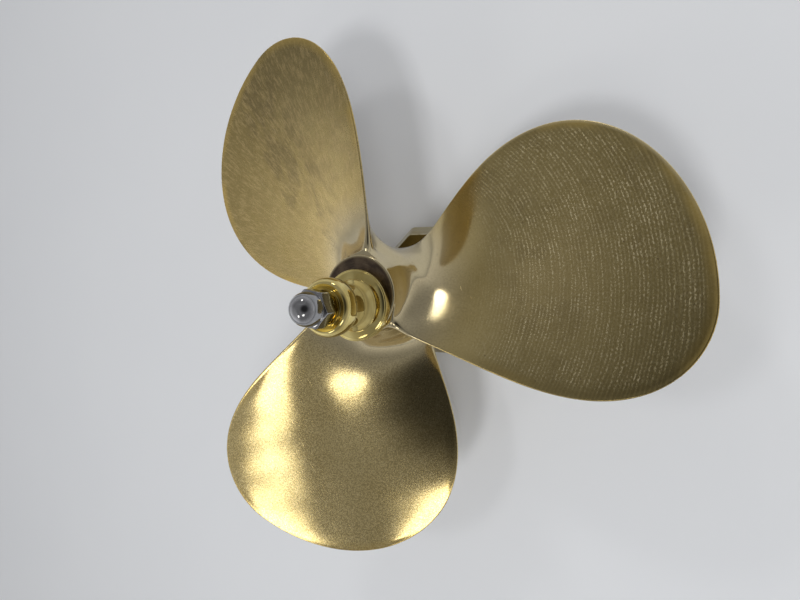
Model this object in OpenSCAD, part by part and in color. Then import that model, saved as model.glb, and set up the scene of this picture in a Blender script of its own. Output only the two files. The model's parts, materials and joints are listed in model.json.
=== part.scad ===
// Boat propeller, left-handed, three blades, mounted on a bevelled base block.
// Millimetres. Z runs along the shaft line, from the base towards the dome nut.
// Origin: on the propeller's axis, at the underside of the base pad.

/* [Propeller] */
// Diameter over the blade tips
prop_d = 330; // [300:1:360]
// Number of blades
blades = 3; // [2:1:3]
// Pitch at the hub, as a fraction of the tip radius
pitch_root = 1.01; // [0.9:0.01:1.1]
// Extra pitch at the tip, as a fraction of the tip radius
pitch_gain = 0.15; // [0:0.01:0.3]
// Blade thickness in the middle of the root section
root_t = 11; // [8:0.5:13]
// Blade thickness in the middle of the section at the tip
tip_t = 3.2; // [2.5:0.1:4]
// Thickness of the blade's edge
edge_t = 1.8; // [1.2:0.1:2.4]
// Position of the first blade around the axis, in degrees
blade_turn = 0.5; // [-10:0.5:10]

/* [Hub] */
// Length of the hub
hub_len = 63.5; // [60:0.5:66]
// Radius of the hub at its front end face
hub_front_r = 21.4; // [21:0.1:23]
// Radius of the hub at its widest
hub_mid_r = 24; // [23.5:0.1:26]
// Radius of the hub at its rear end face
hub_rear_r = 23; // [22:0.1:24]
// Radius of the shaft bore through the hub
bore_r = 12.7; // [12:0.1:13]
// Width of the keyway in the bore
key_w = 6.4; // [5:0.1:8]
// Depth of the keyway beyond the bore's wall
key_d = 3; // [2:0.1:3.5]

/* [Running fits] */
// Radial clearance between the bore and the bush that it turns on
run_gap = 0.08; // [0.04:0.01:0.1]
// Gap at each end face of the hub
end_gap = 0.25; // [0.2:0.05:0.5]

/* [Spindle] */
// Radius of the threaded rod
rod_r = 5; // [4.8:0.1:5.2]
// Sideways play of the rod in its oversize holes, across the blades' zero line
rod_off_x = 0.7; // [-0.7:0.1:0.7]
// Sideways play of the rod in its oversize holes, the other way
rod_off_y = -5.1; // [-5.1:0.1:0]

/* [Front collars] */
// Radius of the large flange against the hub
flange_r = 18.65; // [18.6:0.05:19.5]
// Height of the large flange's rim
flange_rim = 4.4; // [3:0.1:5]
// Radius of the waist between the two flanges
waist_r = 8.5; // [8:0.1:10]
// Height of the flanged collar, from the hub's side to its front end
flange_h = 23.8; // [22:0.1:26]
// Radius of the cupped collar's rim
cup_r = 14.4; // [13.5:0.1:16]
// Height of the cupped collar's rim above its back
cup_h = 8.8; // [8:0.1:10]
// Height of the nut's seat above the cupped collar's back
seat_h = 11.5; // [10.5:0.1:12]

/* [Dome nut] */
// Width across the flats of the dome nut and of the base nut
nut_af = 17; // [16:0.5:17]
// Height of the dome nut over all
nut_h = 18; // [17.5:0.5:20]
// Height of the dome nut's hexagon
nut_hex_h = 8; // [7:0.5:9]
// Radius of the dome
dome_r = 8; // [7.5:0.1:8]
// Turn of the nut's corners around the rod, in degrees
nut_turn = -9; // [-30:1:30]

/* [Base] */
// Width of the base block across its main flats
base_af = 85.4; // [80:0.2:90]
// Width of the base block across its corner flats
base_cf = 81.5; // [76:0.5:84]
// Sideways play of the base block on the rod
base_off_y = 1.2; // [0:0.1:1.2]
// Height of the base block's top above the floor
base_h = 30; // [28:0.5:34]
// Width of the bevel around the top of the base block
bevel_w = 6; // [3:0.5:8]
// Height of the bevel around the top of the base block
bevel_h = 9; // [5:0.5:10]
// Radius of the hole through the base block
base_hole_r = 11.5; // [11.4:0.1:11.6]
// Radius of the recess under the base block
recess_r = 25; // [24.5:0.5:26]
// Depth of the recess under the base block
recess_h = 15; // [14:0.5:16]
// Thickness of the pad under the base block
pad_t = 1.5; // [1:0.25:2]
// Radius of the collar between the base block and the hub
rear_collar_r = 20; // [18:0.5:22]

/* [Hidden] */
$fn = 96;

R = prop_d/2;
hub_z0 = 51.6;                        // rear end face of the hub
hub_z1 = hub_z0 + hub_len;            // front end face of the hub
blade_z = hub_z0 + 44.4;              // level of the blades' pitch plane
bush_r = bore_r - run_gap;
bush_bore_r = 10.4;
flange_z = hub_z1 + end_gap;          // back of the flanged collar
cup_z = flange_z + flange_h;          // back of the cupped collar
nut_z = cup_z + seat_h;               // underside of the dome nut
nut_c = nut_af/2/cos(30);             // radius over the nut's corners
washer_r = 18;
washer_t = 2.5;
washer_z = pad_t + recess_h - washer_t;

bronze = [0.78, 0.66, 0.38];
brass = [0.85, 0.70, 0.30];
steel = [0.72, 0.72, 0.74];

// ---- blade surface ------------------------------------------------------
r0 = 0.13*R;                          // radius where the blade's outline starts
rake_1 = -0.025;                      // linear and quadratic rake, in tip radii
rake_2 = 0.039;
// Outline of a blade: half the width either side of the blade's centre line,
// as a cubic curve of four values, closed at the tip by a root of 1 - t^k.
lead_w = [0.25, 0.40, 0.85, 0.47];    // edge that lies nearer the base
lead_k = 13.4;
trail_w = [0.20, 0.34, 0.81, 1.62];   // edge that lies nearer the dome nut
trail_k = 0.256;
nc = 12;                              // steps across a blade
nr = 15;                              // steps along a blade

function cubic(t, b) = b[0]*pow(1-t, 3) + 3*b[1]*t*pow(1-t, 2)
                     + 3*b[2]*t*t*(1-t) + b[3]*pow(t, 3);
function half_w(t, k, b) = R*cubic(t, b)*sqrt(max(0, 1 - pow(t, k)));
function rad_at(t) = r0 + (R - r0)*t;
function phi_at(t) = atan((pitch_root + pitch_gain*rad_at(t)/R)*R/(2*PI*rad_at(t)));
// near the hub the forward edge is held back, so that it stays behind the hub's front face
function trail_lim(t) = (hub_z1 - blade_z - 1.9)/sin(phi_at(t));
function arc_at(t, u) = u < 0 ? u*min(half_w(t, trail_k, trail_w), trail_lim(t))
                              : u*half_w(t, lead_k, lead_w);
function rake_at(t) = let (x = rad_at(t)/R) R*(rake_1*x + rake_2*x*x);
// thickness of the section, fullest in the middle
function thick(t, u) = edge_t + (tip_t + (root_t - tip_t)*pow(1-t, 1.4) - edge_t)*(1 - u*u);
// swelling of both faces where the blade runs into the hub
function swell(t) = 4.5*pow(max(0, 1 - t/0.13), 2);
// a point of the blade: t along it, u across it, d its depth below the front face
function blade_pt(t, u, d, r) =
    let (phi = phi_at(t), s = arc_at(t, u), rr = r == undef ? rad_at(t) : r,
         a = s*cos(phi)/rad_at(t)*180/PI, z = rake_at(t) - s*sin(phi))
    [rr*cos(a) + d*sin(phi)*sin(a), rr*sin(a) - d*sin(phi)*cos(a), z - d*cos(phi)];
function loop_at(t, r) = concat(
    [for (i = [0:nc]) let (u = -cos(180*i/nc)) blade_pt(t, u, -swell(t)*(1 - u*u), r)],
    [for (i = [nc:-1:0]) let (u = -cos(180*i/nc)) blade_pt(t, u, thick(t, u) + swell(t)*(1 - u*u), r)]);
function step_t(j) = min(0.9997, 1 - pow(1 - j/nr, 2));

module blade() {
    m = 2*(nc + 1);
    pts = concat(loop_at(0, bore_r + 3.8), [for (j = [0:nr]) each loop_at(step_t(j))]);
    n = nr + 2;
    sides = [for (j = [0:n-2], i = [0:m-1]) let (a = j*m + i, b = j*m + (i+1)%m, c = b + m, e = a + m)
             each [[a, b, c], [a, c, e]]];
    cap0 = [for (i = [0:nc-1]) each [[i, m-1-i, m-2-i], [i, m-2-i, i+1]]];
    q = (n-1)*m;
    cap1 = [for (i = [0:nc-1]) each [[q+i, q+m-2-i, q+m-1-i], [q+i, q+i+1, q+m-2-i]]];
    polyhedron(points = pts, faces = concat(sides, cap0, cap1), convexity = 6);
}

// One casting: a barrel-shaped hub and the blades, bored and keyed
module propeller() {
    color(bronze)
    difference() {
        union() {
            rotate_extrude() polygon([
                [0, hub_z0], [hub_rear_r - 1.2, hub_z0], [hub_rear_r, hub_z0 + 1.2],
                [hub_mid_r, hub_z0 + hub_len*0.35], [hub_mid_r - 0.4, hub_z0 + hub_len*0.62],
                [hub_front_r + 0.4, hub_z1 - 3.5], [hub_front_r, hub_z1 - 1],
                [hub_front_r - 1, hub_z1], [0, hub_z1]]);
            for (k = [0:blades-1]) rotate([0, 0, blade_turn + 360/blades*k])
                translate([0, 0, blade_z]) blade();
        }
        translate([0, 0, hub_z0 - 1]) cylinder(r = bore_r, h = hub_len + 2);
        translate([0, -key_w/2, hub_z0 - 1]) cube([bore_r + key_d, key_w, hub_len + 2]);
    }
}

// Tube that fills the bore; the propeller turns on it
module hub_bush() {
    color(brass) translate([0, 0, hub_z0 - end_gap]) difference() {
        cylinder(r = bush_r, h = hub_len + 2*end_gap);
        translate([0, 0, -1]) cylinder(r = bush_bore_r, h = hub_len + 4);
    }
}

// Turned spacer between the base block and the hub
module rear_collar() {
    h = hub_z0 - end_gap - base_h;
    r = rear_collar_r;
    color(brass) translate([0, 0, base_h]) rotate_extrude() polygon([
        [bush_bore_r, 0], [r - 0.6, 0], [r, 0.6], [r, 4], [r - 1, 4.8], [r - 2.2, 6.5],
        [r - 2.8, h/2], [r - 2.2, h - 6.5], [r - 1, h - 4.8], [r, h - 4], [r, h - 0.6],
        [r - 0.6, h], [bush_bore_r, h]]);
}

// Outline of the base block: a square with wide corner flats, drawn in by d
module base_outline(d) {
    a = base_af/2 - d;
    b = (base_cf/2 - d)*sqrt(2) - a;
    polygon([[a, -b], [a, b], [b, a], [-b, a], [-a, b], [-a, -b], [-b, -a], [b, -a]]);
}

module base_block() {
    color(brass) translate([0, base_off_y, 0]) difference() {
        union() {
            translate([0, 0, pad_t]) linear_extrude(base_h - bevel_h - pad_t) base_outline(0);
            hull() {
                translate([0, 0, base_h - bevel_h - 0.01]) linear_extrude(0.01) base_outline(0);
                translate([0, 0, base_h - 0.01]) linear_extrude(0.01) base_outline(bevel_w);
            }
        }
        translate([0, 0, pad_t - 1]) cylinder(r = recess_r, h = recess_h + 1);
        translate([0, 0, pad_t]) cylinder(r = base_hole_r, h = base_h + 1);
    }
}

// Soft pad glued to the underside, which closes the recess
module base_pad() {
    color("darkgreen") translate([0, base_off_y, 0]) linear_extrude(pad_t) base_outline(2);
}

module base_washer() {
    color(steel) translate([rod_off_x, rod_off_y, washer_z]) difference() {
        cylinder(r = washer_r, h = washer_t);
        translate([0, 0, -1]) cylinder(r = rod_r + 0.25, h = washer_t + 2);
    }
}

// Hexagon with its corners turned off at one end or at both
module hex_body(h, both) {
    intersection() {
        cylinder(r = nut_c, h = h, $fn = 6);
        rotate_extrude() polygon([
            [0, 0], [both ? nut_af/2 : nut_c + 0.01, 0], [nut_c + 0.01, both ? 0.75 : 0],
            [nut_c + 0.01, h - 0.75], [nut_af/2, h], [0, h]]);
    }
}

module base_nut() {
    h = 8;
    color(steel) translate([rod_off_x, rod_off_y, washer_z - h]) difference() {
        hex_body(h, true);
        translate([0, 0, -1]) cylinder(r = rod_r + 0.05, h = h + 2);
    }
}

// Threaded rod through the whole stack, drawn as a plain rod
module spindle() {
    z0 = washer_z - 10;
    z1 = nut_z + nut_h - 5.5;
    color(steel) translate([rod_off_x, rod_off_y, 0]) rotate_extrude() polygon([
        [0, z0], [rod_r - 0.8, z0], [rod_r, z0 + 0.8], [rod_r, z1 - 0.8], [rod_r - 0.8, z1], [0, z1]]);
}

// Turned collar: a broad flange against the hub that sweeps in to a narrow waist
module flange_collar() {
    w = waist_r;
    h = flange_h;
    f = flange_rim;
    r = flange_r;
    color(brass) translate([rod_off_x, rod_off_y, flange_z]) rotate_extrude() polygon([
        [rod_r + 0.3, 0], [r - 0.5, 0], [r, 0.5], [r, f - 0.3], [r - 0.4, f + 0.3],
        [r - 1.6, f + 1], [r - 3.2, f + 1.4], [r - 4.6, f + 1.7], [r - 5.3, f + 2.3],
        [w + 3.2, f + 4.2], [w + 1.7, f + 6.2], [w + 0.7, f + 8.8], [w + 0.1, f + 12],
        [w, h - 5.4], [w + 0.3, h - 3.2], [w + 1.1, h - 1.6], [w + 2.4, h - 0.4],
        [w + 3, h], [rod_r + 0.3, h]]);
}

// Turned collar: a thick disc with a rounded rim, hollowed around the nut's seat
module cup_collar() {
    r = cup_r;
    color(brass) translate([rod_off_x, rod_off_y, cup_z]) rotate_extrude() polygon([
        [rod_r + 0.3, 0], [r - 1.1, 0], [r - 0.4, 0.35], [r - 0.25, 0.9], [r - 0.05, 1.6],
        [r, 4.4], [r - 0.15, 5.8], [r - 0.7, 7.2], [r - 1.6, 8.3], [r - 2.7, cup_h],
        [r - 3.5, cup_h - 0.5], [r - 4.3, cup_h - 1.2], [nut_af/2 + 0.5, cup_h - 1.7],
        [nut_af/2 - 0.1, cup_h - 1.4], [nut_af/2 - 0.2, seat_h - 0.3],
        [nut_af/2 - 0.5, seat_h], [rod_r + 0.3, seat_h]]);
}

// Acorn nut: a hexagon and a tall round dome, blind inside
module dome_nut() {
    c = nut_h - dome_r;
    color([0.8, 0.8, 0.82]) translate([rod_off_x, rod_off_y, nut_z]) rotate([0, 0, nut_turn])
    difference() {
        union() {
            hex_body(nut_hex_h, false);
            cylinder(r = dome_r, h = c);
            translate([0, 0, c]) sphere(r = dome_r);
        }
        translate([0, 0, -12]) cylinder(r = nut_c + 2, h = 12);
        translate([0, 0, -1]) cylinder(r = rod_r + 0.05, h = nut_h - 3.5);
    }
}

propeller();
hub_bush();
rear_collar();
base_block();
base_pad();
base_washer();
base_nut();
spindle();
flange_collar();
cup_collar();
dome_nut();
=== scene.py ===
import json
import math
import bpy
import bmesh
import numpy as np
from mathutils import Matrix, Vector, kdtree

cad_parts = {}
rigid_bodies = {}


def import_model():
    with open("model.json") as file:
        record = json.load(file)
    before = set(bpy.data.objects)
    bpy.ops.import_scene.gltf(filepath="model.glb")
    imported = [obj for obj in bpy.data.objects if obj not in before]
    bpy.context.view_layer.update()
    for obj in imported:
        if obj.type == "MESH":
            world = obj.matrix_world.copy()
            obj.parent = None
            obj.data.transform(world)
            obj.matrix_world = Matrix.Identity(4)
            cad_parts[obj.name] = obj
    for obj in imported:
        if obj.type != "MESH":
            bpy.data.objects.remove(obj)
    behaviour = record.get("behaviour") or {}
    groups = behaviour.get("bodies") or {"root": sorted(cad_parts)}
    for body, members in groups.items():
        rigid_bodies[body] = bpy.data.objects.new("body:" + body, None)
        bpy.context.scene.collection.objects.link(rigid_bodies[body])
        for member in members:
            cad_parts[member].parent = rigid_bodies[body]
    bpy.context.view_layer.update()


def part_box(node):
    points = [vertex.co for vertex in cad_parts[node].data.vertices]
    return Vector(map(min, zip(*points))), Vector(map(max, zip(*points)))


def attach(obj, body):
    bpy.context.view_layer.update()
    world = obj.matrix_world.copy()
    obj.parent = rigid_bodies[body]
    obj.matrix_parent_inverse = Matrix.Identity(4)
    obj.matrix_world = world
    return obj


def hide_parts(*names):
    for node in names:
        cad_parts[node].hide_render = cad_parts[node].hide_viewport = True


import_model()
MM = 0.001

# ---------------------------------------------------------------- camera
lo_b, hi_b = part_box("base_pad")
cam_data = bpy.data.cameras.new("camera")
cam = bpy.data.objects.new("camera", cam_data)
bpy.context.scene.collection.objects.link(cam)
CAM_R = Vector((0.88958, 0.00882, -0.45669))
CAM_U = Vector((-0.02848, 0.99894, -0.03619))
CAM_F = CAM_R.cross(CAM_U) * -1.0
CAM_P = Vector((0.14876, 0.01047, 0.35700))
m = Matrix.Identity(4)
for i in range(3):
    m[i][0], m[i][1], m[i][2], m[i][3] = CAM_R[i], CAM_U[i], -CAM_F[i], CAM_P[i]
cam.matrix_world = m
cam_data.sensor_width = 36.0
cam_data.lens = 36.0 * 538.58 / 800.0
cam_data.clip_start = 0.01
cam_data.clip_end = 20.0
bpy.context.scene.camera = cam

# ---------------------------------------------------------------- mesh helpers


def new_object(name, verts_mm, faces, sharp=None, weld=0.002):
    """One closed mesh from points in millimetres."""
    bm = bmesh.new()
    vs = [bm.verts.new((x * MM, y * MM, z * MM)) for x, y, z in verts_mm]
    for f in faces:
        g = []
        for i in f:
            if vs[i] not in g:
                g.append(vs[i])
        if len(g) > 2:
            try:
                bm.faces.new(g)
            except ValueError:
                pass
    bmesh.ops.remove_doubles(bm, verts=bm.verts, dist=weld * MM)
    bmesh.ops.dissolve_degenerate(bm, edges=bm.edges, dist=1e-7)
    loose = [v for v in bm.verts if not v.link_faces]
    if loose:
        bmesh.ops.delete(bm, geom=loose, context="VERTS")
    bmesh.ops.recalc_face_normals(bm, faces=bm.faces)
    bad = sum(1 for e in bm.edges if len(e.link_faces) != 2)
    if bm.calc_volume(signed=True) < 0:
        bmesh.ops.reverse_faces(bm, faces=bm.faces)
    me = bpy.data.meshes.new(name)
    bm.to_mesh(me)
    bm.free()
    me.polygons.foreach_set("use_smooth", [True] * len(me.polygons))
    if sharp:
        me.set_sharp_from_angle(angle=math.radians(sharp))
    ob = bpy.data.objects.new(name, me)
    bpy.context.scene.collection.objects.link(ob)
    print("mesh", name, "verts", len(me.vertices), "faces", len(me.polygons), "open edges", bad)
    return ob


def grid_faces(idx, wrap=False):
    """Quads over a 2-D array of vertex numbers; wrap closes the second axis."""
    a = np.asarray(idx)
    if wrap:
        a = np.concatenate([a, a[:, :1]], axis=1)
    q = np.stack([a[:-1, :-1], a[:-1, 1:], a[1:, 1:], a[1:, :-1]], axis=-1).reshape(-1, 4)
    return q.tolist()


# ---------------------------------------------------------------- propeller surface
# The same rules as the CAD model: millimetres, z from the blades' pitch plane.
R = 165.0
R0 = 0.13 * R
BLADE_Z = 96.0
HUB_A, HUB_B = -44.4, 19.1
PITCH, GAIN = 1.01, 0.15
K1, K2 = -0.025, 0.039
LEAD_W, LEAD_K = (0.25, 0.40, 0.85, 0.47), 13.4
TRAIL_W, TRAIL_K = (0.20, 0.34, 0.81, 1.62), 0.256
BORE_R, KEY_W, KEY_D = 12.7, 6.4, 3.0
TURN = math.radians(0.5)
EDGE = 0.9
ROOT_T, TIP_T = 11.0, 3.2


def cub(t, b):
    return b[0] * (1 - t) ** 3 + 3 * b[1] * t * (1 - t) ** 2 + 3 * b[2] * t * t * (1 - t) + b[3] * t ** 3


def t_of(r):
    return np.clip((r - R0) / (R - R0), 0.0, 1.0)


def phi_of(r):
    return np.arctan((PITCH + GAIN * r / R) * R / (2 * np.pi * r))


def rake_of(r):
    x = r / R
    return R * (K1 * x + K2 * x * x)


def half_w(r, side):
    t = t_of(r)
    if side > 0:
        return R * cub(t, LEAD_W) * np.sqrt(np.maximum(0, 1 - t ** LEAD_K))
    w = R * cub(t, TRAIL_W) * np.sqrt(np.maximum(0, 1 - t ** TRAIL_K))
    lim = (HUB_B - 1.9) / np.sin(phi_of(np.maximum(r, R0)))
    k = 0.8
    return -k * np.logaddexp(-w / k, -lim / k)


def width_at(r, s):
    return np.where(s > 0, half_w(r, 1), half_w(r, -1))


def edge_r(r):
    return EDGE + 1.4 * np.maximum(0, 1 - t_of(r) / 0.22) ** 2


def half_t(r, s):
    t = t_of(r)
    e = edge_r(r)
    mid = e + (0.5 * (TIP_T + (ROOT_T - TIP_T) * (1 - t) ** 1.4) - e) * (1 - t ** 6)
    w = np.maximum(width_at(r, s) - e, 1e-3)
    u = np.minimum(1.0, np.abs(s) / w)
    return e + (mid - e) * (1 - u * u)


def cyl(r, s, d):
    """Cylinder coordinates of a point s along the section and d in front of the face."""
    p = phi_of(r)
    return r, (s * np.cos(p) + d * np.sin(p)) / r, rake_of(r) - s * np.sin(p) + d * np.cos(p)


def hub_r(z):
    return 24.0 - 0.0018 * (z + 20.0) ** 2


def f_blade(r, th, z):
    r = np.maximum(r, 14.0)
    p = phi_of(r)
    sp, cp = np.sin(p), np.cos(p)
    zz = z - rake_of(r)
    d = r * th * sp + zz * cp
    turn = np.round(d / (2 * np.pi * r * sp))
    th = th - turn * 2 * np.pi
    d = r * th * sp + zz * cp
    s = r * th * cp - zz * sp
    rc = np.maximum(r, R0 * 0.9)
    e = edge_r(rc)
    hi = np.maximum(half_w(rc, 1) - e, 0)
    lo = -np.maximum(half_w(rc, -1) - e, 0)
    sc = np.clip(s, lo, hi)
    h = half_t(rc, sc)
    return np.sqrt((s - sc) ** 2 + (d + h) ** 2) - h


def smooth01(x):
    x = np.clip(x, 0, 1)
    return x * x * (3 - 2 * x)


def field(P):
    """Signed distance-like field of the whole casting, hub and blades blended together."""
    x, y, z = P[..., 0], P[..., 1], P[..., 2]
    r = np.sqrt(x * x + y * y)
    th = np.arctan2(y, x)
    k = 3.2 + 4.6 * smooth01((14.0 - z) / 17.0)
    parts = [r - hub_r(z)]
    for j in range(3):
        parts.append(f_blade(r, th - j * 2 * np.pi / 3, z))
    a = np.stack(parts, 0) / -k
    mx = a.max(0)
    f = -k * (mx + np.log(np.exp(a - mx).sum(0)))
    f = np.maximum(f, z - (HUB_B - 1.0))
    return np.maximum(f, (HUB_A + 1.0) - z)


def settle(P, steps=10, cap=3.0):
    """Moves points along the gradient onto the zero surface of the field."""
    P = P.copy()
    h = 1e-3
    for _ in range(steps):
        f = field(P)
        g = np.stack([(field(P + h * e) - field(P - h * e)) / (2 * h) for e in np.eye(3)], -1)
        n2 = np.maximum((g * g).sum(-1), 0.2)
        step = np.clip(f / n2, -cap, cap)
        P -= step[..., None] * g
    return P


def to_xyz(c):
    r, th, z = c
    return np.stack([r * np.cos(th), r * np.sin(th), z], -1)


def settle_near(P, th=None):
    """Settles the blade's own points where the hub's fillets still reach them."""
    r = np.hypot(P[..., 0], P[..., 1])
    Q = P.copy()
    m_ = r < 96.0
    Q[m_] = settle(P[m_], 4)
    if th is not None:
        return Q, th
    return Q


def from_xyz(pair):
    """Cylinder coordinates, with each angle kept on the turn of the one it started from."""
    P, th0 = pair
    th = np.arctan2(P[:, 1], P[:, 0])
    th = th + 2 * np.pi * np.round((th0 - th) / (2 * np.pi))
    return np.stack([np.hypot(P[:, 0], P[:, 1]), th, P[:, 2]], -1)


def make_propeller():
    RJ, RF = 57.0, 112.0
    n, K_RIM, K_IN = 84, 6, 22
    K = K_RIM - 1 + K_IN                       # rows are numbered 0..K
    # outline of each half from the join to the tip, evenly spaced
    halves = {}
    for side in (-1, 1):
        sg = np.linspace(0, 1, 4001)
        tj = (RJ - R0) / (R - R0)
        t = tj + (1 - tj) * (1 - (1 - sg) ** 2)
        r = R0 + (R - R0) * t
        w = half_w(r, side)
        w[-1] = 0
        L = np.r_[0, np.cumsum(np.hypot(np.diff(r), np.diff(w)))]
        a = np.linspace(0, L[-1], n + 1)
        ro, so = np.interp(a, L, r), side * np.interp(a, L, w)
        x = np.linspace(0, 1, n + 1)
        rm = RJ + (RF - RJ) * (1.35 * x - 0.35 * x * x)
        # rim rows: distance inward that gives a round edge, measured square to the outline
        tr, ts = np.gradient(ro), np.gradient(so)
        ln = np.hypot(tr, ts)
        nr, ns = -ts / ln, tr / ln
        dr, ds = rm - ro, -so
        D = np.hypot(dr, ds)
        cosg = np.maximum(np.abs((dr * nr + ds * ns) / D), 0.25)
        cosg[-1] = 1.0
        alpha = np.linspace(0, np.pi / 2, K_RIM)
        e = edge_r(ro)
        f_rim = (e[:, None] * (1 - np.cos(alpha))[None]) / (D * cosg)[:, None]
        g = 7.0 ** (np.arange(1, K_IN + 1) / K_IN)
        gx = (g - 1) / 6.0
        f_in = f_rim[:, -1:] + (1 - f_rim[:, -1:]) * gx[None]
        f = np.concatenate([f_rim, f_in], 1)
        rr = ro[:, None] + dr[:, None] * f
        ss = so[:, None] + ds[:, None] * f
        sa = np.concatenate([np.sin(alpha), np.ones(K_IN)])[None] * np.ones((n + 1, 1))
        halves[side] = (rr, ss, sa)
    parts, faces, count = [], [], 0

    def add(P, wrap=False):
        nonlocal count
        a, b = P.shape[:2]
        idx = count + np.arange(a * b).reshape(a, b)
        parts.append(P.reshape(-1, 3))
        faces.extend(grid_faces(idx, wrap))
        count += a * b

    loops = {}
    blade_grids = []
    for side in (-1, 1):
        rr, ss, sa = halves[side]
        h = half_t(rr, ss)
        face = to_xyz(cyl(rr, ss, -h * (1 - sa)))
        back = to_xyz(cyl(rr, ss, -h * (1 + sa)))
        blade_grids += [settle_near(face), settle_near(back)]
        loops[side] = (rr[0], ss[0], sa[0])
    # the loop around the blade where it meets the root patch
    patches = []
    for way in (1, -1):
        s = np.r_[loops[-1][1], loops[1][1][::-1][1:]]
        sa = np.r_[loops[-1][2], loops[1][2][::-1][1:]]
        m_ = len(s)
        r = np.full(m_, RJ)
        h = half_t(r, s)
        A = from_xyz(settle_near(to_xyz(cyl(r, s, -h * (1 - way * sa))), np.stack(cyl(r, s, -h * (1 - way * sa)), -1)[:, 1]))
        arc = np.r_[0, np.cumsum(np.abs(np.diff(s)))]
        frac = 0.45 * arc / arc[-1] + 0.55 * np.arange(m_) / (m_ - 1)
        # outer edge of the patch on the hub: front arc, side, rear arc
        la, lb, lc = 22.0, 62.0, 23.0
        tot = la + lb + lc
        i1 = int(np.argmin(np.abs(frac - la / tot)))
        i3 = i1
        i2 = m_ - 1 - i3
        kap = math.radians(2.117)
        qc = math.radians(-8.0)
        third = math.radians(60.0)
        B = np.zeros((m_, 3))
        u = frac[: i1 + 1] / frac[i1]
        zf = HUB_B - 1.0
        B[: i1 + 1] = np.stack([np.full(i1 + 1, 21.4), qc + way * third * u - kap * zf, np.full(i1 + 1, zf)], -1)
        zr = HUB_A + 1.0
        u = (frac[i1 : i2 + 1] - frac[i1]) / (frac[i2] - frac[i1])
        z = zf + (zr - zf) * u
        B[i1 : i2 + 1] = np.stack([hub_r(z) + 0.6, qc + way * third - kap * z, z], -1)
        B[i1, 0] = 21.4
        u = (frac[i2:] - frac[i2]) / (1 - frac[i2])
        B[i2:] = np.stack([np.full(i3 + 1, 22.9), qc + way * third * (1 - u) - kap * zr, np.full(i3 + 1, zr)], -1)
        # corner of each path: the section carried down to the hub
        rc = np.full(m_, 25.0)
        sc = s * width_at(rc, s) / width_at(r, s)
        hc = half_t(rc, sc)
        C = np.stack(cyl(rc, sc, -hc * (1 - way * sa)), -1)
        J = 30
        lam = np.linspace(0, 1, J + 1)[:, None, None]
        Q = (1 - lam) ** 2 * A + 2 * lam * (1 - lam) * C + lam ** 2 * B
        P = to_xyz(np.moveaxis(Q, -1, 0))
        free = np.ones((J + 1, m_), bool)
        free[0] = False
        free[J, : i1 + 1] = False
        free[J, i2:] = False
        ramp = np.clip(np.arange(J + 1) / 3.0, 0, 1)[:, None, None]
        for it in range(8):
            S = settle(P, 4)
            P = np.where(free[..., None], P + (S - P) * ramp, P)
            if it < 7:
                sm = P.copy()
                sm[1:-1] = 0.5 * P[1:-1] + 0.25 * (P[:-2] + P[2:])
                P = np.where(free[..., None], sm, P)
        S = settle(P, 6)
        P = np.where(free[..., None], P + (S - P) * ramp, P)
        patches.append((P, i1, i2))
    for j in range(3):
        a = TURN + j * 2 * math.pi / 3
        c_, s_ = math.cos(a), math.sin(a)
        rot = np.array([[c_, s_, 0], [-s_, c_, 0], [0, 0, 1]])
        for G in blade_grids:
            add(G @ rot)
        for P, _, _ in patches:
            add(P @ rot)
    # end faces and bore
    (Pf, i1, i2), (Pb, _, _) = patches
    def ring(which):
        pts = []
        for j in range(3):
            a = TURN + j * 2 * math.pi / 3
            c_, s_ = math.cos(a), math.sin(a)
            rot = np.array([[c_, s_, 0], [-s_, c_, 0], [0, 0, 1]])
            if which == 0:
                seq = np.concatenate([Pb[-1, : i1 + 1][::-1], Pf[-1, 1 : i1]])
            else:
                seq = np.concatenate([Pb[-1, i2:], Pf[-1, i2 + 1 : -1][::-1]])
            pts.append(seq @ rot)
        pts = np.concatenate(pts)
        th = np.arctan2(pts[:, 1], pts[:, 0])
        return pts[np.argsort(th)]
    front, rear = ring(0), ring(1)
    assert len(front) == len(rear), (len(front), len(rear))
    thb = np.sort(np.arctan2(front[:, 1], front[:, 0]))
    a_in = math.asin(KEY_W / 2 / BORE_R)
    a_out = math.atan(KEY_W / 2 / (BORE_R + KEY_D))
    for sg in (1, -1):
        i = int(np.argmin(np.abs(thb - sg * a_in)))
        thb[i] = sg * a_in
        thb[i - sg] = sg * a_out
    thb = np.sort(thb)
    rb = np.full(len(thb), BORE_R)
    inside = np.abs(thb) < a_out + 1e-9
    rb[inside] = (BORE_R + KEY_D) / np.cos(thb[inside])
    bore = np.stack([rb * np.cos(thb), rb * np.sin(thb)], -1)
    nring = len(thb)

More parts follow.
